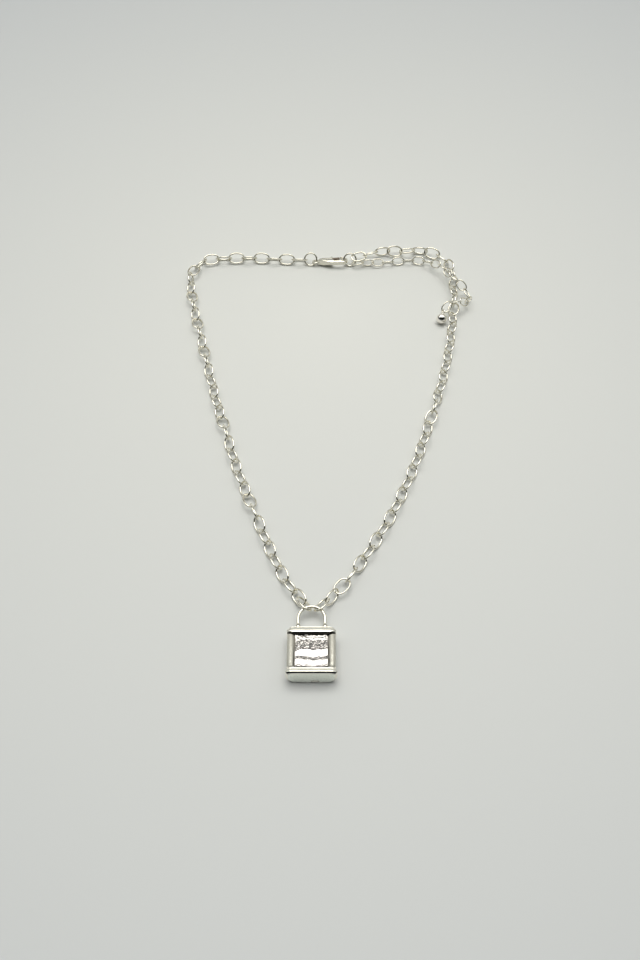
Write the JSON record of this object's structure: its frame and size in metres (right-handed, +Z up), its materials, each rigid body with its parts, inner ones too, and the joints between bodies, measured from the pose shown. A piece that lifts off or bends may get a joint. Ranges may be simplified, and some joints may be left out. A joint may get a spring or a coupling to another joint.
{
  "type": "padlock necklace",
  "caption": "Fine oval-link necklace lying as a closed loop, with a small moulded padlock at the front and a lobster clasp with a short extender chain at the back.",
  "frame": {"origin": "centre of the footprint, on the surface that the necklace lies on", "axes": "+Z up from the surface, +Y from the padlock to the clasp along the loop's length, +X to the right in the picture"},
  "size_m": [0.1104, 0.1892, 0.0064],
  "materials": {
    "silver": "polished silver plate",
    "bright_silver": "polished silver plate, brightest on the lock, the drop and the lever"
  },
  "bodies": {
    "necklace": {"lock_case": "bright_silver", "lock_shackle": "silver", "chain_left": "silver", "chain_right": "silver", "extender_chain": "silver", "extender_drop": "bright_silver", "ring_left": "silver", "ring_right": "silver", "clasp_body": "silver"},
    "lever": {"clasp_lever": "bright_silver"}
  },
  "joints": [
    {"name": "clasp_lever_hinge", "type": "hinge", "parent": "necklace", "child": "lever", "pos_m": [0.00104, 0.08768, 0.00128], "axis": [0.0479, -0.2689, -0.962], "range_deg": [0, 22], "stiffness_Nm_per_rad": 0.001}
  ]
}
